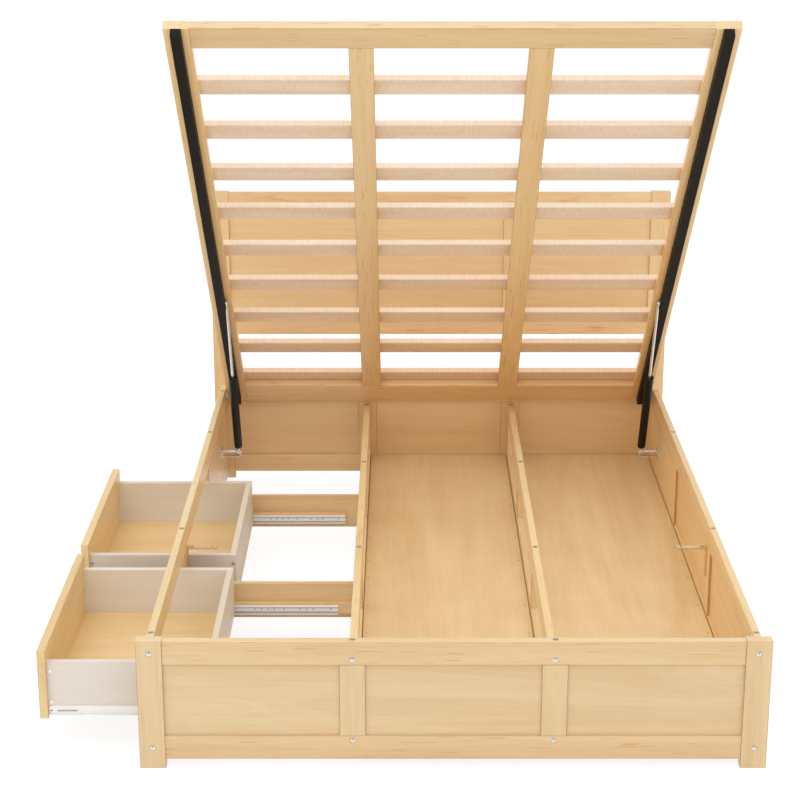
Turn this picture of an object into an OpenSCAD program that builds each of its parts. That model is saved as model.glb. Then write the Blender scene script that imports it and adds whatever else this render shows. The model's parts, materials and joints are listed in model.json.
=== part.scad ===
// Tatami platform bed: framed box with a headboard, two side drawers and a
// slatted frame that lifts on gas struts over the storage space.
// Lengths are in mm, angles in degrees. It is drawn with X across the bed, Y from
// the foot to the head and Z up from the floor. place() then moves the origin to
// the middle of the footprint. It stands as photographed: lifted and pulled out.

/* [Bed] */
// Width over the posts
bed_w = 1450; // [1100:10:2100]
// Length from the front of the foot posts to the back of the head posts
bed_l = 2006; // [1900:1:2300]
// Height of the foot posts
box_h = 323; // [280:1:420]
// Height of the head posts
head_h = 953; // [700:1:1200]
// Post width across the bed
post_w = 60; // [45:1:90]
// Post thickness along the bed
post_t = 25; // [20:1:45]
// How far the rails lie below the top of the posts
rail_drop = 3; // [0:0.5:10]
// How far the end rails stand back from the face of the posts
rail_setback = 3; // [1:0.5:8]

/* [Framed boards] */
// Height of every rail of the box and the headboard
rail_h = 60; // [40:1:80]
// Height of the lowest rails above the floor
floor_gap = 22; // [10:1:60]
// Thickness of the head and foot boards
end_t = 20; // [16:0.5:24]
// Width of the stiles in the head and foot boards
stile_w = 60; // [40:1:90]
// Thickness of the panels in the head and foot boards
panel_t = 9; // [5:0.5:12]
// Depth of the grooves that hold the panels
groove_d = 6; // [3:0.5:10]
// Room round a panel in its groove
groove_gap = 0.2; // [0.1:0.05:0.5]
// Width of the eased edges of the boards
edge = 1.2; // [0.5:0.1:2.5]
// Underside of the upper part of the headboard above the floor
headboard_z = 488; // [400:1:600]

/* [Sides] */
// How far the sides stand in from the outside of the posts
side_inset = 21.5; // [5:0.5:30]
// Thickness of the sides
side_t = 18; // [15:0.5:25]
// Width of the foot stile of a side
foot_stile_w = 58; // [40:1:90]
// Width of the other stiles of a side
side_stile_w = 60; // [40:1:90]
// Length of a drawer bay
bay_w = 600; // [450:1:640]
// Thickness of the panels in the bays of the right side
side_panel_t = 5; // [4:0.5:9]

/* [Dividers and bottom] */
// Thickness of the dividers
divider_t = 19; // [15:0.5:25]
// Top of the dividers below the top of the box
divider_drop = 57; // [54:0.5:120]
// Height of the lower rail of a divider
divider_low_h = 80; // [50:1:110]
// Top of the bottom panels above the floor
bottom_top = 78; // [50:1:90]
// Thickness of the bottom panels
bottom_t = 9; // [6:0.5:15]
// Gap all round the bottom panels
bottom_gap = 2; // [0.5:0.5:4]
// Side of the square cleats under the bottom panels
cleat = 20; // [12:1:30]

/* [Drawers] */
// How far the drawers are pulled out
drawer_pull = 264; // [0:1:300]
// Gap all round a drawer front in its bay
front_gap = 2; // [1:0.5:5]
// Thickness of a drawer front
front_t = 20; // [15:0.5:25]
// Room between the back of a closed drawer and the divider
drawer_behind = 54; // [30:1:150]
// Thickness of the drawer walls
wall_t = 16; // [10:0.5:20]
// Bottom edge of the drawer walls above the floor
wall_z = 90; // [84:1:110]
// Height of the drawer walls
wall_h = 135; // [80:1:160]
// Thickness of the drawer bottom
base_t = 6; // [4:0.5:9]
// How far the drawer bottom lies above the edge of the walls
base_lift = 7; // [4:0.5:15]

/* [Drawer slides] */
// Room between a drawer wall and the board that carries the slide
slide_room = 13; // [12:0.1:16]
// Height of a slide
slide_h = 22; // [18:0.5:40]
// Depth of the channel of a slide
slide_d = 11; // [9:0.1:11.5]
// Sheet thickness of a slide
slide_t = 1.5; // [1:0.1:1.6]
// Running gap between the two members of a slide
slide_gap = 0.3; // [0.2:0.05:0.6]
// How far the fixed member of a slide starts inside the side
slide_set = 5; // [3:0.5:20]
// How far the fixed member of a slide reaches past the closed drawer
slide_past = 9; // [2:1:20]
// Thickness of the cross rails that carry the slides
cross_t = 20; // [15:0.5:25]
// Underside of the cross rails above the floor
cross_z = 68; // [30:1:80]
// Height of the cross rails
cross_h = 96; // [60:1:140]
// Height of the battens between the cross rails and the slides
batten_h = 28; // [24:1:60]

/* [Lift frame] */
// How far the frame is lifted
lift_open = 44.3; // [0:0.1:60]
// Gap between the frame and each side
lift_gap = 4.5; // [3:0.5:12]
// Gap between the closed frame and the foot posts
foot_gap = 6.5; // [3:0.5:15]
// Thickness of the rails of the frame
lift_t = 23; // [18:0.5:30]
// Width of the side rails of the frame
lift_side_w = 62; // [50:1:80]
// Width of the middle rails of the frame
lift_mid_w = 60; // [40:1:80]
// Centre of each middle rail from the middle of the bed
lift_mid_x = 216; // [150:1:300]
// Width of the foot rail of the frame
lift_foot_w = 77; // [50:1:100]
// Width of the head rail of the frame
lift_head_w = 97; // [50:1:110]
// Number of slats
slat_n = 9; // [5:1:11]
// Width of a slat
slat_w = 60; // [40:1:90]
// Thickness of a slat
slat_t = 17.5; // [12:0.5:22]
// Distance from one slat to the next
slat_pitch = 194.3; // [100:0.1:220]
// Start of the first slat from the hinge line
slat_start = 77; // [20:1:90]
// How far the slats end short of the outside of the frame
slat_inset = 9; // [0:1:30]

/* [Hinge] */
// Hinge line ahead of the head posts
hinge_setback = 23; // [16:0.5:40]
// Length of the frame behind the hinge line
hinge_end = 10; // [8:0.5:12]
// Diameter of the hinge pins
hinge_pin_d = 10; // [6:0.5:12]
// Radial running gap round the hinge pins
hinge_play = 0.08; // [0.05:0.01:0.1]
// How far a hinge pin reaches into the frame
hinge_reach = 25; // [15:1:30]
// How far a hinge pin reaches into the side
hinge_root = 12; // [8:0.5:14]
// Diameter of the collar between the side and the frame
hinge_collar_d = 18; // [14:1:22]

/* [Steel channels and rests] */
// Width of the channel under each side rail
channel_w = 25; // [20:0.5:30]
// Height of the channel
channel_h = 22; // [16:0.5:24]
// Wall of the channel, which is closed at its foot end
channel_t = 2; // [1.5:0.1:3]
// Distance from the outside of the frame to the channel
channel_inset = 18.5; // [8:0.5:24]
// Length of each arm of the angle rests
rest_arm = 80; // [60:1:100]
// Width of the angle rests
rest_w = 20; // [15:1:30]
// Thickness of the angle rests
rest_t = 3; // [2:0.5:5]
// Top of the angle rests below the top of the box
rest_drop = 63; // [58:0.1:120]
// Gap left between the closed channel and the rests
rest_gap = 0.3; // [0.2:0.1:1]

/* [Gas struts] */
// Gap between the channel and the middle of the strut
strut_off = 4.5; // [4.4:0.1:5.5]
// Distance from the hinge line to the lower pivot
strut_low_u = 199; // [150:1:260]
// Height of the lower pivot below the hinge line
strut_low_drop = 123; // [115:1:140]
// Distance from the hinge line to the upper pivot
strut_high_u = 642; // [600:1:700]
// Depth of the upper pivot below the rails of the frame
strut_high_n = 10; // [6:0.5:12]
// Diameter of the cylinder
tube_d = 25; // [18:0.5:26]
// Wall of the cylinder
tube_wall = 1.5; // [1:0.1:2]
// Start of the round end of the cylinder from the lower pivot
tube_start = 16; // [15:0.5:24]
// End of the cylinder from the lower pivot
tube_end = 320; // [280:1:325]
// Diameter of the rod
rod_d = 8; // [6:0.5:8]
// Radial running gap of the rod and piston
rod_play = 0.08; // [0.05:0.01:0.1]
// Length of the guide at the top of the cylinder
guide_len = 16; // [10:1:25]
// Thickness of the piston
piston_t = 10; // [6:1:15]
// Gap between the piston and the guide when the strut is open
piston_room = 2; // [1:0.5:10]
// Outside diameter of the eyes
eye_d = 17; // [14:0.5:18]
// Thickness of the flat eyes
eye_t = 5; // [4:0.1:5.4]
// Diameter of the neck between the lower eye and the cylinder
neck_d = 10; // [9.5:0.5:14]
// Diameter of the pivot pins of the struts
pivot_d = 8; // [6:0.5:9]
// Radial running gap round the pivot pins
pivot_play = 0.08; // [0.05:0.01:0.1]
// Gap left at the upper pivot, where the linkage is opened
open_gap = 0.3; // [0.2:0.05:0.5]
// Sheet thickness of the strut brackets
bracket_t = 2.5; // [2:0.5:4]
// Width of the wall plates of the strut brackets along the bed
plate_w = 50; // [40:1:80]
// Underside of the strut brackets below the pivot
bracket_drop = 16; // [14:0.5:24]
// Metal round the pivot hole of a strut bracket
lug_wall = 5; // [4:0.5:7]
// Side gap between an eye and the cheek or the collar beside it
cheek_gap = 0.5; // [0.3:0.1:2]
// Gap between the rim of a cheek and the neck of the cylinder
neck_gap = 1; // [0.5:0.1:2]
// How far the heads and collars reach beyond the pivot pins
pin_rim = 2; // [1.5:0.5:4]
// Thickness of the heads and collars of the pivot pins
pin_head_t = 3; // [2:0.5:4]

/* [Bolts] */
// Diameter of the bolt heads
bolt_head_d = 13; // [9:0.5:15]
// Thickness of the bolt heads
bolt_head_t = 5; // [3:0.5:6]
// Depth of the heads below the surface
bolt_sink = 0.5; // [0.2:0.1:2]
// Width across the flats of the sockets in the heads
socket_w = 5; // [3:0.5:8]
// Diameter of the bolt shanks
bolt_d = 7; // [5:0.5:8]
// Length of the bolts that reach into the dividers
bolt_len = 60; // [45:1:80]
// Room round a bolt in its hole
bolt_gap = 0.1; // [0.05:0.05:0.3]
// Wood left beyond the tip of a bolt
bolt_cover = 2; // [1:0.5:4]
// Distance of a post bolt below the top of the rails
post_bolt_drop = 31.5; // [20:0.5:40]
// Distance of a rail bolt from the panel edge of its rail
rail_bolt_in = 12.5; // [10:0.5:30]

/* [Hidden] */
post_x = bed_w/2 - post_w;                      // inner face of the posts
divider_x = (2*post_x + stile_w)/6;             // three equal panels in the foot board
rail_top = box_h - rail_drop;
low_z = [floor_gap, floor_gap + rail_h];        // lowest rails
high_z = [rail_top - rail_h, rail_top];         // upper rails of the box
field_z = [low_z[1], high_z[0]];                // panels and bays between them
board_top = head_h - rail_drop;
head_low_z = [headboard_z, headboard_z + rail_h];
head_top_z = [board_top - rail_h, board_top];
head_field_z = [head_low_z[1], head_top_z[0]];
foot_y = [rail_setback, rail_setback + end_t];  // thickness of the foot board
head_y = [bed_l - foot_y[1], bed_l - foot_y[0]];
between_posts = [post_t, bed_l - post_t];
end_x = [-post_x, post_x];
end_bays = [[-post_x, -divider_x - stile_w/2],
            [-divider_x + stile_w/2, divider_x - stile_w/2],
            [divider_x + stile_w/2, post_x]];
end_stiles = [for (s = [-1, 1]) [s*divider_x - stile_w/2, s*divider_x + stile_w/2]];
side_out = bed_w/2 - side_inset;
side_in = side_out - side_t;
side_x = [side_in, side_out];
bay_pitch = bay_w + side_stile_w;
bay_0 = post_t + foot_stile_w;
bays = [for (i = [0, 1]) [bay_0 + i*bay_pitch, bay_0 + i*bay_pitch + bay_w]];
side_stiles = [[post_t, bay_0], [bays[0][1], bays[1][0]], [bays[1][1], bays[1][1] + side_stile_w]];
head_bay = [side_stiles[2][1], between_posts[1]];
divider_in = divider_x - divider_t/2;
divider_out = divider_x + divider_t/2;
divider_y = [foot_y[1], head_y[0]];
divider_posts = [[divider_y[0], bay_0], side_stiles[1], side_stiles[2],
                 [divider_y[1] - side_stile_w, divider_y[1]]];
divider_top = rail_top - divider_drop;
divider_high_z = [divider_top - rail_h, divider_top];
divider_low_z = [floor_gap, floor_gap + divider_low_h];
divider_field_z = [divider_low_z[1], divider_high_z[0]];
bottom_z = [bottom_top - bottom_t, bottom_top];
cleat_z = [bottom_z[0] - cleat, bottom_z[0]];
cross_at = [(post_t + bay_0)/2, (bays[0][1] + bays[1][0])/2, bays[1][1] + side_stile_w/2];
front_x = -side_out - drawer_pull;              // outer face of a drawer front
box_depth = side_out - front_t - divider_out - drawer_behind;
box_x = [front_x + front_t, front_x + front_t + box_depth];
wall_zs = [wall_z, wall_z + wall_h];
base_zs = [wall_z + base_lift, wall_z + base_lift + base_t];
slide_zs = [wall_z, wall_z + slide_h];
slide_x = [slide_set - side_in, front_t - side_out + box_depth + slide_past];
pivot_y = between_posts[1] - hinge_setback;
rest_top = rail_top - rest_drop;
lift_under = rest_top + rest_gap + channel_h;   // underside of the closed rails
pivot_z = lift_under + lift_t/2;
strut_low_z = pivot_z - strut_low_drop;
lift_half = side_in - lift_gap;
lift_y = [post_t + foot_gap, pivot_y + hinge_end];
lift_z = [lift_under, lift_under + lift_t];
slat_z = [lift_z[1], lift_z[1] + slat_t];
channel_x = [lift_half - channel_inset - channel_w, lift_half - channel_inset];
strut_x = channel_x[0] - strut_off;
strut_low = [pivot_y - strut_low_u, strut_low_z];
strut_arm = -lift_t/2 - strut_high_n;           // upper pivot below the hinge line
strut_high = [pivot_y - strut_high_u*cos(lift_open) + strut_arm*sin(lift_open),
              pivot_z + strut_high_u*sin(lift_open) + strut_arm*cos(lift_open)];
strut_len = norm(strut_high - strut_low);
strut_angle = atan2(strut_high[1] - strut_low[1], strut_low[0] - strut_high[0]);
tube_r = tube_d/2;
bore_r = tube_r - tube_wall;
piston_at = tube_end - guide_len - piston_t - piston_room;
lug_r = pivot_d/2 + lug_wall;
post_bolt_len = post_t + hinge_setback - hinge_pin_d/2 - bolt_sink - bolt_cover;
bolt_pos = [[side_out - side_t/2, rail_top - post_bolt_drop, 0, post_bolt_len],
            [side_out - side_t/2, low_z[0] + rail_h/2, 0, post_bolt_len],
            [divider_x, high_z[0] + rail_bolt_in, rail_setback, end_t - bolt_cover],
            [divider_x, low_z[1] - rail_bolt_in, rail_setback, bolt_len]];
origin_x = (bed_w/2 + front_x)/2;               // middle of the footprint
origin_y = bed_l/2;
wood = [0.86, 0.70, 0.46];
slat_wood = [0.90, 0.76, 0.63];
liner = [0.84, 0.82, 0.78];
black = [0.07, 0.07, 0.08];
steel = [0.75, 0.76, 0.78];
brass = [0.80, 0.64, 0.36];
round_fn = 32;
small_fn = 24;

// ---- helpers ----
module place() translate([-origin_x, -origin_y, 0]) children();

// a plain sheet, for panels and what they need
module sheet(x, y, z) translate([x[0], y[0], z[0]])
  cube([x[1] - x[0], y[1] - y[0], z[1] - z[0]]);

// a board with eased long edges, extruded along its longest side
module eased(a, b) polygon([[a[0] + edge, b[0]], [a[1] - edge, b[0]], [a[1], b[0] + edge],
  [a[1], b[1] - edge], [a[1] - edge, b[1]], [a[0] + edge, b[1]], [a[0], b[1] - edge],
  [a[0], b[0] + edge]]);
module board(x, y, z) let (l = [x[1] - x[0], y[1] - y[0], z[1] - z[0]])
  if (l[0] == max(l)) along_x(x) eased(y, z);
  else if (l[1] == max(l)) along_y(y) eased(x, z);
  else translate([0, 0, z[0]]) linear_extrude(l[2]) eased(x, y);

// a board with all its edges eased
module block(x, y, z) intersection() {
  along_x(x) eased(y, z);
  along_y(y) eased(x, z);
  translate([0, 0, z[0]]) linear_extrude(z[1] - z[0]) eased(x, y);
}

module left_side() mirror([1, 0, 0]) children();

module both_sides() { children(); left_side() children(); }

// turns what is drawn closed about the hinge line
module lifted() translate([0, pivot_y, pivot_z]) rotate([-lift_open, 0, 0])
  translate([0, -pivot_y, -pivot_z]) children();

// extrudes a profile drawn in X and Z along the bed, or one in Y and Z across it
module along_y(y) translate([0, y[1], 0]) rotate([90, 0, 0])
  linear_extrude(y[1] - y[0]) children();
module along_x(x) translate([x[0], 0, 0]) rotate([90, 0, 90])
  linear_extrude(x[1] - x[0]) children();

function grown(range, by) = [range[0] - by, range[1] + by];
function middle(range) = (range[0] + range[1])/2;
function centred(at, size) = [at - size/2, at + size/2];

// a panel in its grooves, or with room > 0 the grooves that it needs
module end_panel(x, y, z, room) sheet(grown(x, groove_d - groove_gap + room),
  centred(middle(y), panel_t + 2*room), grown(z, groove_d - groove_gap + room));
module end_panels(y, z, room = 0) for (x = end_bays) end_panel(x, y, z, room);
module side_panels(room = 0) for (y = bays)
  sheet(centred(middle(side_x), side_panel_t + 2*room), grown(y, groove_d - groove_gap + room),
        grown(field_z, groove_d - groove_gap + room));

module end_rail(y, z, field) difference() {
  board(end_x, y, z);
  end_panels(y, field, groove_gap);
}
module end_stiles_at(y, z) difference() {
  for (x = end_stiles) board(x, y, z);
  end_panels(y, z, groove_gap);
}

// ---- bolts that tie the foot and head boards to the sides and dividers ----
module bolt(length) difference() {
  union() {
    translate([0, 0, bolt_sink])
      cylinder(d1 = bolt_head_d - 2*edge, d2 = bolt_head_d, h = edge, $fn = small_fn);
    translate([0, 0, bolt_sink + edge]) {
      cylinder(d = bolt_head_d, h = bolt_head_t - edge, $fn = small_fn);
      cylinder(d = bolt_d, h = length - edge, $fn = small_fn);
    }
  }
  translate([0, 0, bolt_sink - 1]) cylinder(d = socket_w/cos(30), h = 1 + bolt_head_t/2, $fn = 6);
}
module bolt_hole(length) {
  translate([0, 0, -1])
    cylinder(d = bolt_head_d + 2*bolt_gap, h = 1 + bolt_sink + bolt_head_t, $fn = small_fn);
  translate([0, 0, bolt_sink])
    cylinder(d = bolt_d + 2*bolt_gap, h = length + bolt_gap, $fn = small_fn);
}
module at_bolts(end) both_sides() translate([0, end*bed_l, 0]) mirror([0, end, 0])
  for (b = bolt_pos) translate([b[0], b[2], b[1]]) rotate([-90, 0, 0]) {
    $length = b[3];
    children();
  }
module all_bolts() for (end = [0, 1]) at_bolts(end) bolt($length);
module all_bolt_holes() for (end = [0, 1]) at_bolts(end) bolt_hole($length);

// ---- headboard and head end of the box ----
module head_posts() color(wood) place() difference() {
  both_sides() block([post_x, bed_w/2], [bed_l - post_t, bed_l], [0, head_h]);
  end_panels(head_y, field_z, groove_gap);
  end_panels(head_y, head_field_z, groove_gap);
  all_bolt_holes();
}
module headboard_top_rail() color(wood) place() end_rail(head_y, head_top_z, head_field_z);
module headboard_lower_rail() color(wood) place() end_rail(head_y, head_low_z, head_field_z);
module headboard_stiles() color(wood) place() end_stiles_at(head_y, head_field_z);
module headboard_panels() color(wood) place() end_panels(head_y, head_field_z);
module head_box_top_rail() color(wood) place() difference() {
  end_rail(head_y, high_z, field_z);
  all_bolt_holes();
}
module head_box_bottom_rail() color(wood) place() difference() {
  end_rail(head_y, low_z, field_z);
  all_bolt_holes();
}
module head_box_stiles() color(wood) place() end_stiles_at(head_y, field_z);
module head_box_panels() color(wood) place() end_panels(head_y, field_z);

// ---- foot board ----
module foot_posts() color(wood) place() difference() {
  both_sides() block([post_x, bed_w/2], [0, post_t], [0, box_h]);
  end_panels(foot_y, field_z, groove_gap);
  all_bolt_holes();
}
module foot_top_rail() color(wood) place() difference() {
  end_rail(foot_y, high_z, field_z);
  all_bolt_holes();
}
module foot_bottom_rail() color(wood) place() difference() {
  end_rail(foot_y, low_z, field_z);
  all_bolt_holes();
}
module foot_stiles() color(wood) place() end_stiles_at(foot_y, field_z);
module foot_panels() color(wood) place() end_panels(foot_y, field_z);

// ---- sides: drawer bays on the left, the same bays panelled on the right ----
module hinge_hole(room) translate([0, pivot_y, pivot_z]) rotate([0, 90, 0])
  cylinder(d = hinge_pin_d + 2*room, h = side_in + hinge_root + room, $fn = round_fn);
module side_top_rail() difference() {
  board(side_x, between_posts, high_z);
  hinge_hole(hinge_play);
  all_bolt_holes();
}
module side_bottom_rail() difference() {
  board(side_x, between_posts, low_z);
  all_bolt_holes();
}
module side_stile_boards() for (y = side_stiles) board(side_x, y, field_z);
module side_head_panel() board(side_x, head_bay, field_z);

module left_top_rail() color(wood) place() left_side() side_top_rail();
module left_bottom_rail() color(wood) place() left_side() side_bottom_rail();
module left_stiles() color(wood) place() left_side() side_stile_boards();
module left_head_panel() color(wood) place() left_side() side_head_panel();
module right_top_rail() color(wood) place() difference() {
  side_top_rail();
  side_panels(groove_gap);
}
module right_bottom_rail() color(wood) place() difference() {
  side_bottom_rail();
  side_panels(groove_gap);
}
module right_stiles() color(wood) place() difference() {
  side_stile_boards();
  side_panels(groove_gap);
}
module right_head_panel() color(wood) place() side_head_panel();
module right_panels() color(wood) place() side_panels();

// ---- dividers: open frames that part the storage space in three ----
module divider_rails() difference() {
  for (z = [divider_high_z, divider_low_z]) board([divider_in, divider_out], divider_y, z);
  all_bolt_holes();
}
module divider_post_boards() for (y = divider_posts)
  board([divider_in, divider_out], y, divider_field_z);
module divider_left_rails() color(wood) place() left_side() divider_rails();
module divider_left_posts() color(wood) place() left_side() divider_post_boards();
module divider_right_rails() color(wood) place() divider_rails();
module divider_right_posts() color(wood) place() divider_post_boards();

// ---- bottom panels of the middle and right compartments ----
module bottom_panel_middle() color(wood) place()
  sheet(grown([-divider_in, divider_in], -bottom_gap), grown(divider_y, -bottom_gap), bottom_z);
module bottom_panel_right() color(wood) place()
  sheet(grown([divider_out, side_in], -bottom_gap), grown(divider_y, -bottom_gap), bottom_z);
module bottom_cleats() color(wood) place()
  for (x = [-divider_in, divider_in - cleat, divider_out, side_in - cleat])
    board([x, x + cleat], between_posts, cleat_z);

// ---- cross rails and drawer slides on the left ----
module cross_rails() color(wood) place() for (y = cross_at)
  board([-side_in, -divider_out], centred(y, cross_t), [cross_z, cross_z + cross_h]);

// each slide as [face of the bay, direction in which it opens, end of its batten]
slides = [[bays[0][0], 1, -divider_out], [bays[0][1], -1, -divider_out],
          [bays[1][0], 1, -divider_out], [bays[1][1], -1, slide_x[1]]];
function slide_rail(s) = s[0] == bays[0][0] ? cross_at[0]
  : s[0] == bays[1][1] ? cross_at[2] : cross_at[1];
module slide_battens() color(wood) place() for (s = slides)
  let (back = slide_rail(s) + s[1]*cross_t/2)
    board([-side_in, s[2]], [min(back, s[0]), max(back, s[0])],
          centred(middle(slide_zs), batten_h));

// profile of the fixed member, with its back at 0
module slide_channel() difference() {
  translate([0, slide_zs[0]]) square([slide_d, slide_h]);
  translate([slide_t, slide_zs[0] + slide_t]) square([slide_d, slide_h - 2*slide_t]);
}
// profile of the moving member, with the drawer wall at slide_room
module runner_channel() let (z = grown(slide_zs, -slide_t - slide_gap)) {
  translate([slide_room - slide_t/2, slide_zs[0]]) square([slide_t/2, slide_h]);
  translate([2*slide_t, z[0]]) difference() {
    square([slide_room - 2*slide_t - slide_t/4, z[1] - z[0]]);
    translate([-slide_t, slide_t]) square([slide_room - 3*slide_t, z[1] - z[0] - 2*slide_t]);
  }
}
// the flared lead-in at the inner end of a fixed member
flare_l = 16;
flare_h = 4;
module slide_flare(s) translate([slide_x[1], s[0], slide_zs[0]])
  mirror([0, s[1] < 0 ? 1 : 0, 0]) translate([0, slide_t, 0]) rotate([90, 0, 0])
    linear_extrude(slide_t) polygon([[-flare_l, 0], [0, -flare_h], [0, slide_t], [-flare_l, slide_t]]);
module cabinet_slides() color(steel) place() for (s = slides) {
  along_x(slide_x) translate([s[0], 0]) mirror([s[1] < 0 ? 1 : 0, 0]) slide_channel();
  slide_flare(s);
}

// ---- drawers ----
module drawer_base(y, room = 0) let (set = groove_d - groove_gap + room)
  sheet([box_x[0] - (room > 0 ? 1 : 0), box_x[1] - wall_t + set],
        grown([y[0] + slide_room + wall_t, y[1] - slide_room - wall_t], set), grown(base_zs, room));
module drawer_front(y) color(wood) place() block([front_x, front_x + front_t],
  grown(y, -front_gap), grown(field_z, -front_gap));
module drawer_walls(y) color(liner) place() difference() {
  for (w = [y[0] + slide_room, y[1] - slide_room - wall_t]) board(box_x, [w, w + wall_t], wall_zs);
  drawer_base(y, groove_gap);
}
module drawer_back(y) color(liner) place() difference() {
  board([box_x[1] - wall_t, box_x[1]],
        [y[0] + slide_room + wall_t, y[1] - slide_room - wall_t], wall_zs);
  drawer_base(y, groove_gap);
}
module drawer_runners(y) color(steel) place() for (s = [[y[0], 0], [y[1], 1]])
  along_x([box_x[0] + slide_t, box_x[0] + box_depth - slide_t])
    translate([s[0], 0]) mirror([s[1], 0]) runner_channel();

module drawer_foot_front() drawer_front(bays[0]);
module drawer_foot_walls() drawer_walls(bays[0]);
module drawer_foot_back() drawer_back(bays[0]);
module drawer_foot_base() color(wood) place() drawer_base(bays[0]);
module drawer_foot_runners() drawer_runners(bays[0]);
module drawer_head_front() drawer_front(bays[1]);
module drawer_head_walls() drawer_walls(bays[1]);
module drawer_head_back() drawer_back(bays[1]);
module drawer_head_base() color(wood) place() drawer_base(bays[1]);
module drawer_head_runners() drawer_runners(bays[1]);

// ---- lift frame, drawn closed and then lifted ----
module lift_side_rails() color(wood) place() lifted() both_sides() difference() {
  board([lift_half - lift_side_w, lift_half], lift_y, lift_z);
  translate([lift_half - hinge_reach - 1, pivot_y, pivot_z]) rotate([0, 90, 0])
    cylinder(d = hinge_pin_d + 2*hinge_play, h = hinge_reach + 2, $fn = round_fn);
}
module lift_middle_rails() color(wood) place() lifted() both_sides()
  board(centred(lift_mid_x, lift_mid_w), [lift_y[0] + lift_foot_w, lift_y[1] - lift_head_w], lift_z);
module lift_foot_rail() color(wood) place() lifted()
  board([-lift_half + lift_side_w, lift_half - lift_side_w], [lift_y[0], lift_y[0] + lift_foot_w], lift_z);
module lift_head_rail() color(wood) place() lifted()
  board([-lift_half + lift_side_w, lift_half - lift_side_w], [lift_y[1] - lift_head_w, lift_y[1]], lift_z);
module slats() color(slat_wood) place() lifted() for (i = [0 : slat_n - 1])
  let (head_edge = pivot_y - slat_start - i*slat_pitch)
    board([slat_inset - lift_half, lift_half - slat_inset], [head_edge - slat_w, head_edge], slat_z);
module lift_channels() color(black) place() lifted() both_sides() difference() {
  sheet(channel_x, [lift_y[0], pivot_y], [lift_under - channel_h, lift_under]);
  sheet(grown(channel_x, -channel_t), [lift_y[0] + channel_t, pivot_y + 1],
        [lift_under - channel_h + channel_t, lift_under + 1]);
}
module hinge_pins() color(steel) place() both_sides()
  translate([lift_half, pivot_y, pivot_z]) rotate([0, 90, 0]) {
    translate([0, 0, 1 - hinge_reach]) cylinder(d = hinge_pin_d,
      h = hinge_reach - 1 + lift_gap + hinge_root, $fn = round_fn);
    translate([0, 0, open_gap]) cylinder(d = hinge_collar_d, h = lift_gap - open_gap, $fn = round_fn);
  }
module angle_rests() color(brass) place() both_sides()
  along_y([side_stiles[1][1] - rest_w, side_stiles[1][1]]) {
    translate([side_in - rest_arm, rest_top - rest_t]) square([rest_arm, rest_t]);
    translate([side_in - rest_t, rest_top - rest_arm]) square([rest_t, rest_arm]);
  }

// ---- gas struts: local Z runs from the lower to the upper pivot ----
// side is 1 on the right and -1 on the left
module on_strut(side) translate([side*strut_x, strut_low[0], strut_low[1]])
  rotate([90 - strut_angle, 0, 0]) children();
module eye() rotate([0, 90, 0]) difference() {
  cylinder(d = eye_d, h = eye_t, center = true, $fn = round_fn);
  cylinder(d = pivot_d + 2*pivot_play, h = eye_t + 2, center = true, $fn = round_fn);
}
module strut_cylinder(side) color(black) place() on_strut(side) {
  eye();
  translate([0, 0, lug_r + neck_gap])
    cylinder(d = neck_d, h = tube_start + tube_r/2 - lug_r - neck_gap, $fn = small_fn);
  sheet(centred(0, eye_t - 1), centred(0, neck_d - 2), [eye_d/2 - 2, lug_r + neck_gap + 2]);
  rotate_extrude($fn = round_fn) difference() {
    union() {
      translate([0, tube_start + tube_r]) square([tube_r, tube_end - tube_start - tube_r]);
      intersection() {
        translate([0, tube_start + tube_r]) circle(tube_r, $fn = round_fn);
        translate([0, tube_start]) square([tube_r, tube_r]);
      }
    }
    translate([-1, tube_start + tube_r])
      square([bore_r + 1, tube_end - guide_len - tube_start - tube_r]);
    translate([-1, tube_end - guide_len - 1]) square([rod_d/2 + rod_play + 1, guide_len + 2]);
  }
}
module strut_rod(side) color(steel) place() on_strut(side) {
  translate([0, 0, strut_len]) rotate([0, side*90, 0]) {
    cylinder(d = eye_d, h = eye_t, center = true, $fn = round_fn);
    translate([0, 0, -eye_t/2 - pin_rim])
      cylinder(d = pivot_d, h = eye_t/2 + pin_rim + strut_off - open_gap, $fn = round_fn);
  }
  translate([0, 0, piston_at]) {
    cylinder(d = rod_d, h = strut_len - piston_at - (eye_d - eye_t)/2, $fn = small_fn);
    cylinder(r = bore_r - rod_play, h = piston_t, $fn = round_fn);
  }
}
// a plate on the side, a lower leg and one cheek, which hold the pin at both ends
module strut_bracket() let (low = strut_low_z - bracket_drop, cheek = strut_x - eye_t/2 - cheek_gap - bracket_t,
                            plate = side_in - bracket_t) difference() {
  translate([0, strut_low[0], 0]) {
    sheet([plate, side_in], centred(0, plate_w), [low, strut_low_z + lug_r]);
    sheet([cheek, side_in], centred(0, 2*lug_r), [low, low + bracket_t]);
    sheet([cheek, cheek + bracket_t], centred(0, 2*lug_r), [low, strut_low_z]);
    translate([cheek, 0, strut_low_z]) rotate([0, 90, 0]) cylinder(r = lug_r, h = bracket_t, $fn = round_fn);
  }
  translate([strut_x, strut_low[0], strut_low_z]) rotate([0, 90, 0])
    cylinder(d = pivot_d + 2*pivot_play, h = 2*(side_in - strut_x) + 2, center = true, $fn = round_fn);
}
module strut_brackets() color(steel) place() both_sides() strut_bracket();
module strut_pin() let (half = eye_t/2 + cheek_gap, start = -half - bracket_t) {
  translate([0, 0, start]) cylinder(d = pivot_d, h = side_in - bracket_t/2 - strut_x - start, $fn = round_fn);
  for (z = [start - pin_head_t, half]) translate([0, 0, z])
    cylinder(d = pivot_d + 2*pin_rim, h = pin_head_t, $fn = round_fn);
}
module strut_pins() color(steel) place() both_sides()
  translate([strut_x, strut_low[0], strut_low_z]) rotate([0, 90, 0]) strut_pin();
module strut_cylinder_right() strut_cylinder(1);
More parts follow.
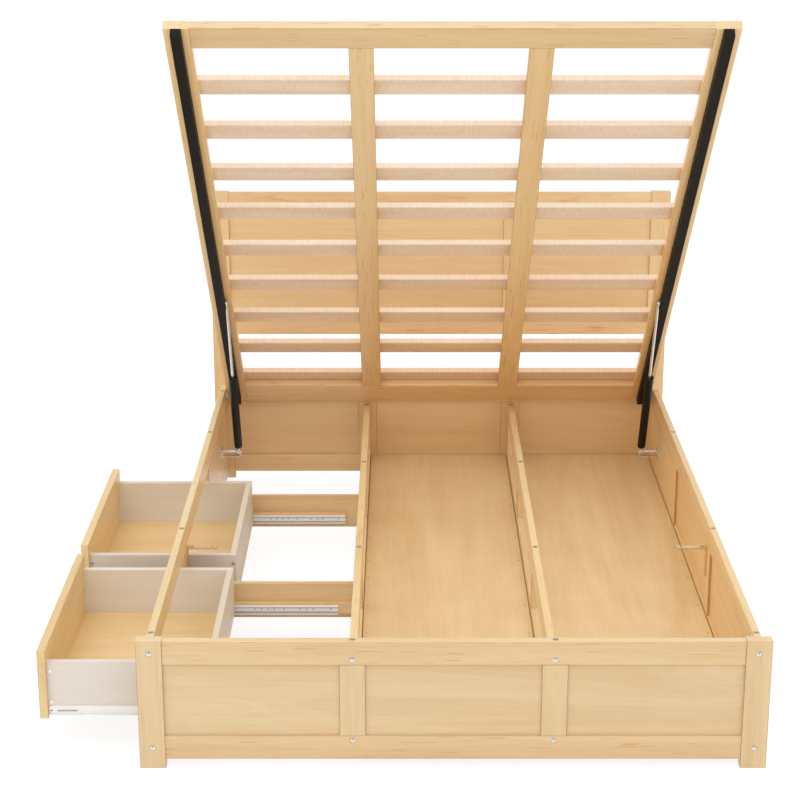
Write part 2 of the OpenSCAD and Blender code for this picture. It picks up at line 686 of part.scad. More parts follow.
module strut_cylinder_left() strut_cylinder(-1);
module strut_rod_right() strut_rod(1);
module strut_rod_left() strut_rod(-1);
module frame_bolts() color(steel) place() all_bolts();

head_posts();
headboard_top_rail();
headboard_lower_rail();
headboard_stiles();
headboard_panels();
head_box_top_rail();
head_box_bottom_rail();
head_box_stiles();
head_box_panels();
foot_posts();
foot_top_rail();
foot_bottom_rail();
foot_stiles();
foot_panels();
left_top_rail();
left_bottom_rail();
left_stiles();
left_head_panel();
right_top_rail();
right_bottom_rail();
right_stiles();
right_head_panel();
right_panels();
divider_left_rails();
divider_left_posts();
divider_right_rails();
divider_right_posts();
bottom_panel_middle();
bottom_panel_right();
bottom_cleats();
cross_rails();
slide_battens();
cabinet_slides();
drawer_foot_front();
drawer_foot_walls();
drawer_foot_back();
drawer_foot_base();
drawer_foot_runners();
drawer_head_front();
drawer_head_walls();
drawer_head_back();
drawer_head_base();
drawer_head_runners();
lift_side_rails();
lift_middle_rails();
lift_foot_rail();
lift_head_rail();
slats();
lift_channels();
hinge_pins();
angle_rests();
strut_brackets();
strut_pins();
strut_cylinder_left();
strut_cylinder_right();
strut_rod_left();
strut_rod_right();
frame_bolts();
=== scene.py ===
"""Platform bed: procedural wood and metal, small fittings, light and camera."""
import json
import math

import bmesh
import bpy
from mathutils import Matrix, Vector


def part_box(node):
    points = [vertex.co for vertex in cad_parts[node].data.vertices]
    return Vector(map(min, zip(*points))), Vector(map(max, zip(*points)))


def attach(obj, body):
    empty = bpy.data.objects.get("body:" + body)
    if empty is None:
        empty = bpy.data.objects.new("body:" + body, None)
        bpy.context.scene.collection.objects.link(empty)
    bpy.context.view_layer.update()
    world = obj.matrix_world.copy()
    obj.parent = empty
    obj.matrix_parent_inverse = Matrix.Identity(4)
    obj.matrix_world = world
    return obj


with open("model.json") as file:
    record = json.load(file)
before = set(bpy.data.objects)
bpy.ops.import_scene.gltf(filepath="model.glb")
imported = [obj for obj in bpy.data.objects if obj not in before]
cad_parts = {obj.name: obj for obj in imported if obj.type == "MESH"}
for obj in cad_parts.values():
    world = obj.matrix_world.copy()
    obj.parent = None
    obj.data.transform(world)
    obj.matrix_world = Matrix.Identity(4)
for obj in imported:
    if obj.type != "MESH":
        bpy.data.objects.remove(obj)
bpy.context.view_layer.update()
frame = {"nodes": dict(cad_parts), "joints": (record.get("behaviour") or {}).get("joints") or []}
NODES = frame["nodes"]
X, Y, Z = range(3)


def joint(name):
    """What the frame says of a joint."""
    return next(entry for entry in frame["joints"] if entry["name"] == name)


HINGE = Vector(joint("lift_hinge")["pos_m"])
TILT = joint("lift_hinge")["range_deg"][1]   # the frame is loaded lifted by this angle


# ---- node trees ----------------------------------------------------------
def empty_tree(owner):
    """The node tree of a new material or world, without its first nodes."""
    owner.use_nodes = True
    owner.node_tree.nodes.clear()
    return owner.node_tree


def add(tree, kind, links=(), **values):
    """Makes a node, sets its inputs or properties and links what feeds it."""
    node = tree.nodes.new(kind)
    for key, value in values.items():
        if key in node.inputs:
            node.inputs[key].default_value = value
        else:
            setattr(node, key, value)
    for source, target in links:
        tree.links.new(source, node.inputs[target])
    return node


def surface(name):
    """A new material with one shader, which sets how its surface looks."""
    material = bpy.data.materials.new(name)
    tree = empty_tree(material)
    out = add(tree, "ShaderNodeOutputMaterial")
    shader = add(tree, "ShaderNodeBsdfPrincipled")
    tree.links.new(shader.outputs[0], out.inputs[0])
    return material, tree, shader


def ramp(tree, source, stops):
    """A colour ramp of the source, with a colour or a grey at each stop."""
    node = add(tree, "ShaderNodeValToRGB", [(source, 0)])
    bar = node.color_ramp
    while len(bar.elements) < len(stops):
        bar.elements.new(0.5)
    for element, (position, colour) in zip(bar.elements, stops):
        element.position = position
        element.color = (*colour, 1) if isinstance(colour, tuple) else (colour,) * 3 + (1,)
    return node.outputs[0]


def mix(tree, kind, factor, first, second):
    """Mixes two colours. Each argument is a value or a socket that gives it."""
    node = add(tree, "ShaderNodeMix", data_type="RGBA", blend_type=kind)
    factor_in, first_in, second_in = (node.inputs[i] for i in (0, 6, 7))
    for socket, value in ((factor_in, factor), (first_in, first), (second_in, second)):
        if isinstance(value, bpy.types.NodeSocket):
            tree.links.new(value, socket)
        else:
            socket.default_value = value
    return node.outputs[2]


def with_number(tree, operation, source, number):
    """The result of an operation on the source and one number."""
    node = add(tree, "ShaderNodeMath", [(source, 0)], operation=operation)
    node.inputs[1].default_value = number
    return node.outputs[0]


def largest(tree, first, *others):
    """The largest of some values."""
    for other in others:
        first = add(tree, "ShaderNodeMath", [(first, 0), (other, 1)],
                    operation="MAXIMUM").outputs[0]
    return first


def split(tree, vector):
    """The X, Y and Z of a vector."""
    return add(tree, "ShaderNodeSeparateXYZ", [(vector, 0)]).outputs


RINGS = 95.0                           # growth lines in one span of the broad figure


def wood(name, axis, seed, tone, tilted=False, hinge_shade=False, gloss=0.40, contrast=0.95,
         figure=10.0, twist=0.5, lines=0.5, pores=0.0, curl=0.0, curl_size=None, coat=0.4,
         edge_shade=(0.68, 0.56, 0.42), near=None, painted_top=None, end_shade=None):
    """Lacquered wood with its grain along axis, in the colour tone. tilted is for the boards of
    the lifted frame, and warm paints shade on them, darker and redder towards the hinges. figure
    is the number of broad bands in a metre and twist bends them; lines, pores and curl say how
    strongly growth lines, thin brown pore lines and cross-grain curl show. worn paints shade on
    the eased edges, as in the joints between boards; near paints the half towards the foot
    darker, so that the far half shows painted light; crown paints light or shade on the top and
    the edges round it; ends paints shade on the faces towards foot and head."""
    material, tree, shader = surface(name)
    source = add(tree, "ShaderNodeTexCoord")
    coords, normal = source.outputs["Object"], source.outputs["Normal"]
    if tilted:                         # back to the axes of the frame when it lies flat
        coords, normal = (add(tree, "ShaderNodeMapping", [(vector, 0)],
                              Rotation=(math.radians(TILT), 0, 0)).outputs[0]
                          for vector in (coords, normal))

    def noise(across, along, offset, detail=2.0, rough=0.55, twist=0.0):
        """Noise with so many features a metre across the grain and along it."""
        scale = [across] * 3
        scale[axis] = along
        mapped = add(tree, "ShaderNodeMapping", [(coords, 0)], Scale=scale,
                     Location=(seed * 13.7 + offset, seed * 21.1, seed * 7.3 - offset))
        return add(tree, "ShaderNodeTexNoise", [(mapped.outputs[0], 0)], Scale=1.0,
                   Detail=detail, Roughness=rough, Distortion=twist).outputs[0]

    def toned(*shares):
        return tuple(min(part * share, 1.0) for part, share in zip(tone, shares))

    def shaded(share, by, stops):
        """The colour so far, multiplied in that share by a ramp."""
        return mix(tree, "MULTIPLY", share, colour, ramp(tree, by, stops))

    broad = noise(figure, figure * 0.09, 0, 2.0, 0.5, twist)
    streaks = noise(62.0, 1.7, 3, 3.0, 0.55, 0.15)
    fibres = noise(540.0, 9.0, 5, 2.0, 0.6)
    clouds = noise(2.4, 1.3, 9, 1.0)
    rings = add(tree, "ShaderNodeMath", [(with_number(tree, "MULTIPLY", broad, RINGS), 0)],
                operation="SINE").outputs[0]
    colour = ramp(tree, broad, [(0.32, toned(0.95, 0.91, 0.86)), (0.50, tone),
                                (0.70, toned(1.04, 1.06, 1.09))])
    colour = shaded(lines * contrast, rings, [(0.0, (0.955, 0.935, 0.90)), (0.9, 1.0)])
    colour = shaded(0.6 * contrast, streaks, [(0.30, (0.91, 0.875, 0.82)), (0.50, 1.0)])
    colour = shaded(0.5 * contrast, fibres, [(0.30, (0.90, 0.87, 0.83)), (0.58, 1.0)])
    colour = shaded(0.8 * contrast, clouds, [(0.32, (0.95, 0.93, 0.895)), (0.66, 1.0)])
    if curl:
        colour = shaded(curl, noise(*curl_size, 17, 1.0, 0.5, 0.3),
                        [(0.38, (0.93, 0.915, 0.885)), (0.62, 1.0)])
    if pores:
        spots = ramp(tree, noise(280.0, 13.0, 13, 0.0), [(0.725, 0.0), (0.79, pores)])
        colour = mix(tree, "MIX", spots, colour, (*toned(0.80, 0.56, 0.34), 1))
    # Painted light and shade: the half towards the foot darker than the far half.
    if near:
        depth = split(tree, source.outputs["Generated"])[Y]
        colour = shaded(1.0, depth, [(0.45, near), (0.55, 1.0)])

    plain = colour
    sides = add(tree, "ShaderNodeVectorMath", [(normal, 0)], operation="ABSOLUTE")
    sides = split(tree, sides.outputs[0])
    # Painted shade on the eased edges, as in the joints between boards.
    colour = shaded(1.0, largest(tree, *sides), [(0.75, edge_shade), (0.95, 1.0)])
    # Painted shade, darker and redder towards the hinges.
    if hinge_shade:
        rise = split(tree, source.outputs["Generated"])[Z]
        colour = shaded(1.0, rise, [(0.0, (1.0, 0.89, 0.75)), (0.6, 1.0)])
    # Painted light or shade on the top and the edges facing up, which drop the edge shade.
    if painted_top:
        above = ramp(tree, split(tree, normal)[Z], [(0.30, 0.0), (0.45, 1.0)])
        colour = mix(tree, "MIX", above, colour,
                     mix(tree, "MULTIPLY", 1.0, plain, (*painted_top, 1)))
    # Painted shade on the faces towards foot and head.
    if end_shade:
        colour = shaded(1.0, sides[Y], [(0.90, 1.0), (0.97, end_shade)])
    tree.links.new(colour, shader.inputs["Base Color"])
    tree.links.new(ramp(tree, streaks, [(0.30, gloss + 0.08), (0.60, gloss)]),
                   shader.inputs["Roughness"])
    shader.inputs["Specular IOR Level"].default_value = 0.5
    shader.inputs["Coat Weight"].default_value = coat
    shader.inputs["Coat Roughness"].default_value = 0.28
    relief = mix(tree, "MIX", 0.6, streaks, fibres)
    bump = add(tree, "ShaderNodeBump", [(relief, "Height")], Strength=0.10, Distance=0.0005)
    tree.links.new(bump.outputs[0], shader.inputs["Normal"])
    return material


def metal(name, colour, rough, metallic=1.0, spread=0.10, specular=0.5, shade_bands=None):
    """Metal or paint with fine unevenness in colour, gloss and surface. bands gives the lowest
    and highest Z and the stops of painted shade between them."""
    material, tree, shader = surface(name)
    coords = add(tree, "ShaderNodeTexCoord").outputs["Object"]
    coarse = add(tree, "ShaderNodeTexNoise", [(coords, 0)], Scale=90.0, Detail=4.0)
    fine = add(tree, "ShaderNodeTexNoise", [(coords, 0)], Scale=1260.0, Detail=2.0)
    darker = tuple(part * (1 - spread) for part in colour)
    shade = ramp(tree, coarse.outputs[0], [(0.35, darker), (0.65, colour)])
    if shade_bands:
        lowest, highest, stops = shade_bands
        height = add(tree, "ShaderNodeMapRange", [(split(tree, coords)[Z], 0)])
        height.inputs["From Min"].default_value = lowest
        height.inputs["From Max"].default_value = highest
        shade = mix(tree, "MULTIPLY", 1.0, shade, ramp(tree, height.outputs[0], stops))
    tree.links.new(shade, shader.inputs["Base Color"])
    tree.links.new(ramp(tree, fine.outputs[0], [(0.3, rough), (0.7, rough + 0.10)]),
                   shader.inputs["Roughness"])
    shader.inputs["Metallic"].default_value = metallic
    shader.inputs["Specular IOR Level"].default_value = specular
    bump = add(tree, "ShaderNodeBump", [(fine.outputs[0], "Height")], Strength=0.03,
               Distance=0.0003)
    tree.links.new(bump.outputs[0], shader.inputs["Normal"])
    return material


def dress(name, finish):
    """Gives a CAD node its only material."""
    NODES[name].data.materials.clear()
    NODES[name].data.materials.append(finish)


# ---- wood ----------------------------------------------------------------
# The tone of a board is the first entry that its name starts with. The tones are partly the
# wood's own and partly painted light: the boards of the foot end are darker, where the lamps
# fall strongest, boards inside the box such as the dividers, the cleats and the lifted frame's
# side rails are lighter against their shade, and the head rails' deeper orange is painted shade.
TONES_AND_PAINTED_LIGHT = [("foot_panels", (0.712, 0.525, 0.300)), ("foot_stiles", (0.715, 0.532, 0.300)),
         ("foot_posts", (0.712, 0.530, 0.297)), ("foot_", (0.715, 0.512, 0.274)),
         ("headboard", (0.790, 0.560, 0.300)), ("head_box", (0.830, 0.570, 0.292)),
         ("left_top", (0.905, 0.627, 0.300)), ("right_top", (0.900, 0.650, 0.350)),
         ("left_", (0.820, 0.560, 0.285)), ("right_", (0.940, 0.672, 0.347)),
         ("divider", (0.840, 0.630, 0.335)), ("bottom_panel", (0.850, 0.635, 0.345)),
         ("lift_head", (0.855, 0.568, 0.286)), ("lift_foot", (0.735, 0.540, 0.298)),
         ("lift_side", (0.950, 0.675, 0.330)), ("lift_", (0.790, 0.585, 0.315)),
         ("slats", (0.825, 0.665, 0.525)), ("drawer", (0.835, 0.600, 0.292)),
         ("bottom_cleats", (0.980, 0.640, 0.300)), ("", (0.770, 0.540, 0.280))]
# The light lining of the drawers' walls and backs.
LINERS = {"walls": (0.745, 0.690, 0.602), "back": (0.720, 0.637, 0.516)}
# Painted light and shade: what the top of a board, with the edges round it, is lighter or darker
# by.
PAINTED_TOPS = {"foot_top_rail": (1.07, 1.17, 1.23), "foot_posts": (1.06, 1.10, 1.09),
          "left_top_rail": (0.86, 0.98, 1.06), "right_top_rail": (0.866, 0.871, 0.777),
          "divider_left_rails": (1.0, 1.0, 1.0), "divider_right_rails": (1.0, 1.0, 1.0),
          "drawer_foot_front": (0.875, 0.86, 0.81), "drawer_head_front": (0.95, 0.95, 0.95)}
# Painted shade: what the faces of a board towards foot and head are darkened by.
END_SHADE = {"lift_side_rails": (0.77, 0.80, 0.90), "drawer_foot_front": (0.905, 0.945, 1.0),
        "right_stiles": (0.62, 0.46, 0.34), "lift_foot_rail": (0.93, 0.96, 1.0)}

SLAT = {"gloss": 0.5, "coat": 0.0, "contrast": 0.6, "figure": 16.0, "lines": 0.25,
        "curl": 1.0, "curl_size": (34.0, 300.0), "edge_shade": (0.95, 0.93, 0.90)}
LINER = {"gloss": 0.5, "coat": 0.0, "contrast": 0.35, "edge_shade": (1.0, 1.0, 1.0)}
BOTTOM = {"contrast": 0.6, "figure": 5.0, "twist": 3.0, "lines": 0.7,
          "curl": 0.35, "curl_size": (6.0, 11.0), "edge_shade": (1.0, 0.72, 0.45)}
PANEL = {"contrast": 0.75, "figure": 8.0, "lines": 0.65, "pores": 0.15}
RAIL = {"pores": 0.8}
UPRIGHT = {"pores": 0.3, "edge_shade": (0.60, 0.46, 0.31)}

# The boards by the axis that their grain runs along.
GRAIN = {
    X: ["headboard_top_rail", "headboard_lower_rail", "headboard_panels", "head_box_top_rail",
        "head_box_bottom_rail", "head_box_panels", "foot_top_rail", "foot_bottom_rail",
        "foot_panels", "cross_rails", "slide_battens", "drawer_foot_base", "drawer_head_base",
        "lift_foot_rail", "lift_head_rail", "slats", "drawer_foot_walls", "drawer_head_walls"],
    Y: ["left_top_rail", "left_bottom_rail", "left_head_panel", "right_top_rail",
        "right_bottom_rail", "right_head_panel", "right_panels", "divider_left_rails",
        "divider_right_rails", "bottom_panel_middle", "bottom_panel_right", "bottom_cleats",
        "drawer_foot_front", "drawer_head_front", "drawer_foot_back", "drawer_head_back",
        "lift_side_rails", "lift_middle_rails"],
    Z: ["head_posts", "headboard_stiles", "head_box_stiles", "foot_posts", "foot_stiles",
        "left_stiles", "right_stiles", "divider_left_posts", "divider_right_posts"],
}


def tone_of(name):
    """The colour of a board: that of its lining, or the first in TONES_AND_PAINTED_LIGHT that fits its name."""
    lining = LINERS.get(name.split("_")[-1])
    return lining or next(tone for start, tone in TONES_AND_PAINTED_LIGHT if name.startswith(start))


def character(name, axis):
    """How the wood of a board differs from the plainest one."""
    kind = name.split("_")[-1]
    if name == "slats":
        return SLAT
    if kind == "walls":
        # Painted light: the far wall, in shade inside the drawer, is kept lighter than the near
        # one.
        return {**LINER, "near": (0.942, 0.922, 0.940)}
    if kind == "back":
        return LINER
    if name.startswith("bottom_"):
        return BOTTOM
    if kind in ("panels", "panel", "base"):
        return PANEL
    return UPRIGHT if axis == Z else RAIL


boards = [(axis, name) for axis, names in GRAIN.items() for name in names]
for seed, (axis, name) in enumerate(boards, 1):
    tilted = name == "slats" or name.startswith("lift_")
    # Painted shade towards the hinges, on the lifted frame's boards other than its end rails.
    hinge_shade = tilted and name not in ("lift_foot_rail", "lift_head_rail")
    dress(name, wood(name, axis, seed, tone_of(name), tilted, hinge_shade, painted_top=PAINTED_TOPS.get(name),
                     end_shade=END_SHADE.get(name), **character(name, axis)))


# ---- metal ---------------------------------------------------------------
BARE_STEEL = (0.80, 0.80, 0.81)
PLATED = {"colour": (0.91, 0.91, 0.915), "rough": 0.30, "metallic": 0.85, "spread": 0.05}
WHITISH = {"colour": (0.90, 0.90, 0.89), "rough": 0.38, "metallic": 0.30, "spread": 0.03}

# The shade of two grooves rolled into the fixed slides is painted on as two darker lines along
# them.
GROOVE_SHADE = 0.35
GROOVE_SHADE_STOPS = [(0.20, 1.0), (0.24, GROOVE_SHADE), (0.29, GROOVE_SHADE), (0.33, 1.0),
           (0.67, 1.0), (0.71, GROOVE_SHADE), (0.76, GROOVE_SHADE), (0.80, 1.0)]
slide_low, slide_high = (corner[Z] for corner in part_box("cabinet_slides"))

# The frame bolts sit in recesses; the shadow of each recess on the top of its head is painted
# on as a grey band.
POST_ROWS = (288.5, 52)                # heights of the bolts in the posts, mm
STILE_ROWS = (272.5, 69.5)             # and of those in the rails at the stiles
ROWS_TOP = 300                         # above all of them, mm
SHADE = 0.42
shades = [(round((row + up) / ROWS_TOP, 4), level) for row in sorted(POST_ROWS + STILE_ROWS)
          for up, level in ((2.6, 1.0), (3.6, SHADE), (7.2, SHADE), (7.6, 1.0))]

STEEL = metal("bright_steel", BARE_STEEL, 0.26)
ZINC = metal("zinc", **PLATED)
SLIDE = metal("white_zinc", **WHITISH)
ZINC_GROOVE_SHADE = metal("zinc_painted_groove_shade", **WHITISH, shade_bands=(slide_low, slide_high, GROOVE_SHADE_STOPS))
ZINC_PAINTED_SHADOW = metal("zinc_painted_recess_shadow", **PLATED, shade_bands=(0.0, ROWS_TOP / 1000, shades))
BLACK = metal("black_paint", (0.012, 0.0085, 0.006), 0.48, metallic=0.0, spread=0.3,
              specular=0.12)
TUBE = metal("black_tube", (0.010, 0.009, 0.0085), 0.42, metallic=0.0, spread=0.2,
             specular=0.18)
BRONZE = metal("dull_bronze", (0.42, 0.28, 0.15), 0.5, metallic=0.0, specular=0.3)
SLOT = metal("slot_shade", (0.56, 0.44, 0.36), 0.5, metallic=0.0, specular=0.3)
BOLT = metal("grey_steel", (0.50, 0.49, 0.475), 0.36, spread=0.06)
BRASS = metal("brass_plate", (0.80, 0.64, 0.36), 0.30)
# Painted shade: the near-black floor of sockets, recesses and holes, and the ring round the rail
# bolts' heads.
RECESS_SHADE = metal("painted_recess_shade", (0.045, 0.038, 0.034), 0.6, metallic=0.0, specular=0.2)

for finish, names in ((ZINC_GROOVE_SHADE, ["cabinet_slides"]),
                      (SLIDE, ["drawer_foot_runners", "drawer_head_runners"]),
                      (STEEL, ["hinge_pins", "strut_brackets", "strut_pins",
                               "strut_rod_left", "strut_rod_right"]),
                      (ZINC_PAINTED_SHADOW, ["frame_bolts"]),
                      (BRASS, ["angle_rests"]),
                      (BLACK, ["lift_channels"]),
                      (TUBE, ["strut_cylinder_left", "strut_cylinder_right"])):
    for name in names:
        dress(name, finish)

# The eye below each strut cylinder is bare steel, and the cylinder above it is black.
PIVOT = joint("strut_left_pivot")["pos_m"]
STROKE = joint("strut_left_stroke")["axis"]
EYE_REACH = 0.0165                     # from the pivot to the cylinder's rounded end
tree = TUBE.node_tree
shader = next(node for node in tree.nodes if node.type == "BSDF_PRINCIPLED")
place = add(tree, "ShaderNodeTexCoord").outputs["Object"]
place = add(tree, "ShaderNodeVectorMath", [(place, 0)], operation="SUBTRACT")
place.inputs[1].default_value = (0, *PIVOT[1:])
reach = add(tree, "ShaderNodeVectorMath", [(place.outputs[0], 0)], operation="DOT_PRODUCT")
reach.inputs[1].default_value = STROKE
bare = with_number(tree, "LESS_THAN", reach.outputs["Value"], EYE_REACH)
paint = shader.inputs["Base Color"].links[0].from_socket
tree.links.new(mix(tree, "MIX", bare, paint, (*BARE_STEEL, 1)), shader.inputs["Base Color"])
tree.links.new(bare, shader.inputs["Metallic"])


# ---- shapes of the small fittings ----------------------------------------
MIDDLE = 121.25                        # X of the bed's middle line, mm
FOOT = -1003.0                         # Y of its foot end, mm
LENGTH = 2006
LEAN = Vector((0, math.cos(math.radians(TILT)), math.sin(math.radians(TILT))))


def at(x, y, z):
    """A place in the shared frame, from mm across the bed from its middle line, along it from
    its foot end, and above the floor."""
    return Vector((x + MIDDLE, y + FOOT, z)) / 1000


def lifted(x, along, up):
    """A place on the lifted frame, from mm across the bed from its middle line, along the frame
    from its hinge line, and above that line."""
    return Vector(((x + MIDDLE) / 1000, HINGE.y + (up * LEAN.z - along * LEAN.y) / 1000,
                   HINGE.z + (along * LEAN.z + up * LEAN.y) / 1000))


# A line gives the radius of a ring at each angle round its middle.
def round_line(radius):
    return lambda angle: radius


def cross_line(reach, width):
    def line(angle):
        c = max(abs(math.cos(angle)), 1e-6)
        s = max(abs(math.sin(angle)), 1e-6)
        return max(min(reach / c, width / s), min(width / c, reach / s))
    return line


def hex_line(flat):
    return lambda angle: flat / math.cos(angle % (math.pi / 3) - math.pi / 6)


def screw(r, height):
    """A domed head with a cross recess."""
    return [(cross_line(r * 0.50, r * 0.10), height * 0.25),
            (cross_line(r * 0.56, r * 0.14), height * 0.9),
            (round_line(r * 0.66), height), (round_line(r * 0.86), height * 0.66),
            (round_line(r * 0.98), height * 0.2), (round_line(r), -0.4)]


def hole(r, lip):
    """A punched hole with a raised lip."""
    return [(round_line(r), 0.03), (round_line(r * 1.08), lip),
            (round_line(r * 1.22), lip * 0.6), (round_line(r * 1.3), -0.1)]


def turned(name, body, spots, profile, finish, inner_finish_and_shade=RECESS_SHADE, stretch=0.0, sides=24,
           rim_shade=False):
    """One mesh of small fittings, each turned about its place and outward normal. profile runs
    from the floor in the middle outwards, as (line, height) in mm. ground is the finish of the
    floor, mostly painted shade in a recess, and with rim the last ring gets it too, as a painted
    shadow gap round the head. stretch makes a hole into a slot."""
    mesh = bmesh.new()
    for place, normal in spots:
        up = Vector(normal).normalized()
        along = Vector((1, 0, 0)) if abs(up.x) < 0.5 else Vector((0, 1, 0))
        across = up.cross(along)
        rings = []
        for line, height in profile:
            ring = []
            for i in range(sides):
                angle = 2 * math.pi * i / sides
                r, c, s = line(angle), math.cos(angle), math.sin(angle)
                ring.append(mesh.verts.new(place + (along * (r * c + math.copysign(stretch, c))
                                                    + across * r * s + up * height) / 1000))
            rings.append(ring)
        mesh.faces.new(rings[0]).material_index = 1
        for inner, outer in zip(rings, rings[1:]):
            for i in range(sides):
                j = (i + 1) % sides
                face = mesh.faces.new((inner[i], outer[i], outer[j], inner[j]))
                face.smooth = True
                face.material_index = 1 if rim_shade and outer is rings[-1] else 0
        if not rim_shade:
            mesh.faces.new(tuple(reversed(rings[-1])))
    bmesh.ops.recalc_face_normals(mesh, faces=mesh.faces)
    data = bpy.data.meshes.new(name)
    mesh.to_mesh(data)
    mesh.free()
    data.materials.append(finish)
    data.materials.append(inner_finish_and_shade)
    piece = bpy.data.objects.new(name, data)
    bpy.context.scene.collection.objects.link(piece)
    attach(piece, body)


# ---- places of the small fittings, in mm ---------------------------------
UP = (0, 0, 1)
BACK = (0, 1, 0)
FRONT = (0, -1, 0)
BOTH = (-1, 1)                         # the bed's left and right
POST_LINE = 694.5                      # from the middle line to the bolts of the sides
DIVIDER_LINE = 231.7                   # and to those of the dividers
STILE_LINE = 231.667                   # and to those at the stiles of foot and head end
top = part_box("left_top_rail")[1][Z] * 1000
divider_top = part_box("divider_left_rails")[1][Z] * 1000
panel_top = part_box("bottom_panel_middle")[1][Z] * 1000
rest_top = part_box("angle_rests")[1][Z] * 1000

spots = [(at(side * POST_LINE, y, top), UP) for side in BOTH for y in (51, 705, 1498, 1912)]
spots += [(at(side * DIVIDER_LINE, y, divider_top), UP) for side in BOTH
          for y in (54, 718, 1392, 1945)]
spots += [(at(side * DIVIDER_LINE, 13, top), UP) for side in BOTH]
# Painted shade: a dark ring round each rail bolt's head, as the gap that it sits in.
turned("rail_bolts", "bed_box", spots,
       [(hex_line(2.4), 0.1), (hex_line(2.5), 0.8), (round_line(3.9), 0.9),
        (round_line(5.4), 0.6), (round_line(6.0), 0.1), (round_line(6.1), 0.05),
        (round_line(6.9), 0.05)], BOLT, sides=36, rim_shade=True)

HEAD_DEPTH = 0.5                       # of the frame bolts' heads in the wood
BOARD_DEPTH = 3                        # of the rails' faces behind the posts'
frame_bolts = [(POST_LINE, 0, row) for row in POST_ROWS]
frame_bolts += [(STILE_LINE, BOARD_DEPTH, row) for row in STILE_ROWS]
spots = [(at(side * x, start + inward * (depth + HEAD_DEPTH), z), (0, -inward, 0))
         for side in BOTH for start, inward in ((0, 1), (LENGTH, -1))
         for x, depth, z in frame_bolts]
turned("bolt_sockets", "bed_box", spots,
       [(hex_line(1.3), -1.7), (hex_line(1.4), -1.6), (hex_line(1.7), -1.3),
        (hex_line(1.85), -0.1), (hex_line(2.42), -0.1), (hex_line(2.42), -2.42)],
       ZINC)

spots = [(at(x, y, panel_top), UP) for x in (-211, 211, 253, 673)
         for y in (60, 240, 420, 581, 761, 950, 1075, 1252, 1439, 1525, 1700, 1900)]
spots += [(at(side * 685.5, 1414, z), (-side, 0, 0)) for side in BOTH for z in (119, 226)]
turned("panel_screws", "bed_box", spots, screw(2.4, 0.3), BRONZE)

REST_Y = 733                           # middle of the angle rests
spots = [(at(side * x, REST_Y, rest_top), UP) for side in BOTH for x in (618, 672)]
turned("rest_holes", "bed_box", spots, hole(2.6, 0.1), BRASS)
spots = [(at(side * 682.5, REST_Y, z), (-side, 0, 0)) for side in BOTH for z in (190, 232)]
turned("rest_screws", "bed_box", spots, screw(4.0, 1.2), BRASS)

BRACKET_Y = 1759                       # middle of the strut brackets
spots = [(at(side * 683, BRACKET_Y + y, 164), (-side, 0, 0)) for side in BOTH
         for y in (-18, 18)]
turned("bracket_screws", "bed_box", spots, screw(4.0, 1.6), ZINC)

SLIDE_Z = 101                          # middle height of the slides
# The drawers with the faces of the cross rails before and behind them.
BAYS = {"drawer_foot": (83, 683), "drawer_head": (743, 1343)}
SLIDE_FACE = 1.5                       # from a cross rail's face
RUNNER_FACE = 10
WALL_FACE = 13
spots = [(at(x, y + d * SLIDE_FACE, SLIDE_Z), (0, d, 0))
         for near, far in BAYS.values() for y, d in ((near, 1), (far, -1))
         for x in (-640, -506, -488, -471, -455, -429, -387, -369, -353.5, -306.5)]
turned("slide_holes", "bed_box", spots, hole(1.8, 0.08), SLIDE, BRONZE)

for drawer, (near, far) in BAYS.items():
    walls = [(near, 1, FRONT), (far, -1, BACK)]
    finish, inner_finish_and_shade = (ZINC, ZINC) if drawer == "drawer_foot" else (BOLT, RECESS_SHADE)
    spots = [(at(x, y + d * WALL_FACE, z), normal) for y, d, normal in walls
             for x, z in ((-941, 200), (-941, 121), (-567, 200), (-567, 121))]
    turned(drawer + "_screws", drawer, spots, screw(4.4, 0.5), finish, inner_finish_and_shade)
    spots = [(at(x, y + d * RUNNER_FACE, SLIDE_Z), normal) for y, d, normal in walls
             for x in (-941, -700, -580)]
    turned(drawer + "_runner_holes", drawer, spots, hole(2.0, 0.08), SLIDE)
    spots = [(at(x, y + d * RUNNER_FACE, SLIDE_Z), normal) for y, d, normal in walls
             for x in (-904, -640)]
    turned(drawer + "_runner_slots", drawer, spots, hole(2.4, 0.08), SLIDE,
           SLOT, stretch=22.0)

SLATS = 9
SLAT_STEP = 194.3
spots = [(lifted(x, 107 + i * SLAT_STEP, 29), (0, LEAN.z, LEAN.y))
         for i in range(SLATS) for x in (-650, -216, 216, 650)]
turned("slat_screws", "lift_frame", spots, screw(3.6, 0.3), ZINC)


# ---- stage, light and camera ---------------------------------------------
WHITE = (1, 1, 1, 1)
DOME = 1.04                            # strength of the light from all round
FLOOR_GREY = (0.93, 0.93, 0.93, 1)     # what the floor reflects onto the bed
SHADOW_GREY = (0.20, 0.20, 0.20, 1)    # what it shows of the shadows on it
FLOOR_GLOW = 0.87                      # and the white that it shows under them


def seen_directly(tree):
    """1 for rays that come from the camera, a mirror or glass, and 0 for the others."""
    path = add(tree, "ShaderNodeLightPath")
    return largest(tree, *(path.outputs[f"Is {kind} Ray"]
                           for kind in ("Camera", "Glossy", "Transmission")))


def finish_tree(tree, output, lighting, showing):
    """Ends a tree with one shader for what it lights and one for what is seen of it."""
    blend = add(tree, "ShaderNodeMixShader", [(seen_directly(tree), 0), (lighting.outputs[0], 1),
                                              (showing.outputs[0], 2)])
    tree.links.new(blend.outputs[0], add(tree, output).inputs[0])


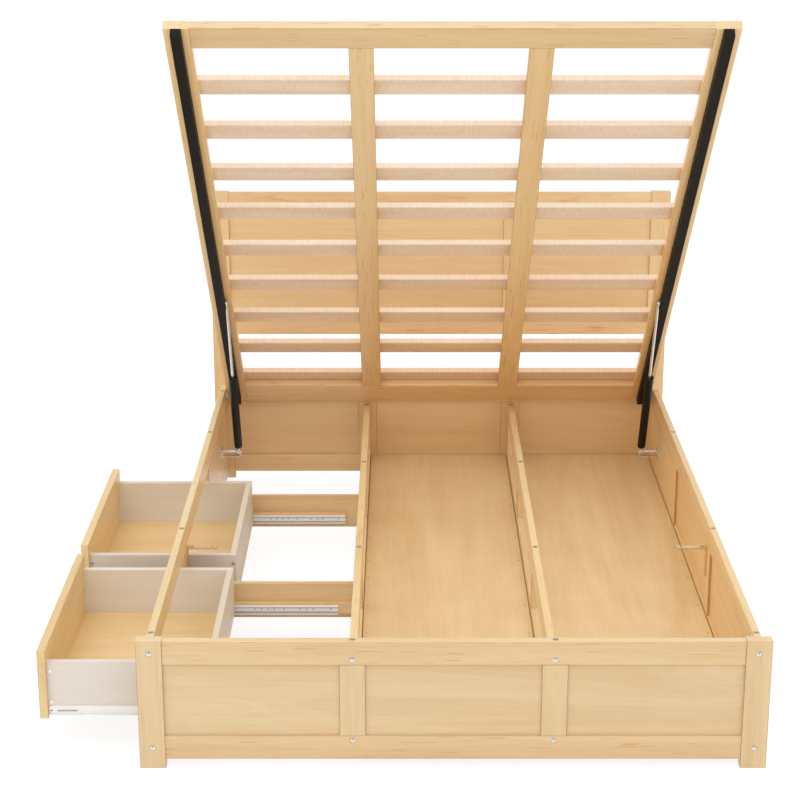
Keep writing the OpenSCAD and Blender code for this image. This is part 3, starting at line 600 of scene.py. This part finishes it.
world = bpy.data.worlds.new("studio")
bpy.context.scene.world = world
tree = empty_tree(world)
finish_tree(tree, "ShaderNodeOutputWorld",
            add(tree, "ShaderNodeBackground", Color=WHITE, Strength=DOME),
            add(tree, "ShaderNodeBackground", Color=WHITE, Strength=1.0))

floor_finish = bpy.data.materials.new("floor")
tree = empty_tree(floor_finish)
faint = add(tree, "ShaderNodeBsdfDiffuse", Color=SHADOW_GREY)
glow = add(tree, "ShaderNodeEmission", Color=WHITE, Strength=FLOOR_GLOW)
finish_tree(tree, "ShaderNodeOutputMaterial",
            add(tree, "ShaderNodeBsdfDiffuse", Color=FLOOR_GREY),
            add(tree, "ShaderNodeAddShader", [(faint.outputs[0], 0), (glow.outputs[0], 1)]))
bpy.ops.mesh.primitive_plane_add(size=60, location=(0, 0, -0.0005))
floor = bpy.context.object
floor.name = "studio_floor"
floor.data.materials.append(floor_finish)


def area_light(name, place, target, size, power):
    data = bpy.data.lights.new(name, "AREA")
    data.shape = "DISK"
    data.size = size
    data.energy = power
    lamp = bpy.data.objects.new(name, data)
    bpy.context.scene.collection.objects.link(lamp)
    lamp.location = place
    lamp.rotation_euler = (Vector(target) - Vector(place)).to_track_quat("-Z", "Y").to_euler()
    lamp.visible_camera = False


area_light("key", (-2.6, -4.2, 5.4), (0, 0, 0.4), 3.0, 30)
area_light("fill", (3.6, -3.4, 3.6), (0, 0, 0.5), 3.0, 8)
area_light("top", (-0.6, -3.0, 8.0), (0, 0, 0.1), 4.6, 115)

PHOTO = 800                            # pixels a side
FOCAL = 1954.4                         # in those pixels
SHIFT = -2.95                          # in those pixels
LOOKS_DOWN = 17.607                    # degrees
camera_data = bpy.data.cameras.new("camera")
camera_data.sensor_width = 36.0
camera_data.lens = FOCAL / PHOTO * camera_data.sensor_width
camera_data.shift_x = SHIFT / PHOTO
camera_data.clip_end = 100
camera = bpy.data.objects.new("camera", camera_data)
bpy.context.scene.collection.objects.link(camera)
camera.location = (0.00525, -5.0648, 2.1848)
camera.rotation_euler = (math.radians(90 - LOOKS_DOWN), 0, 0)
bpy.context.scene.camera = camera

bpy.context.scene.view_settings.view_transform = "Standard"
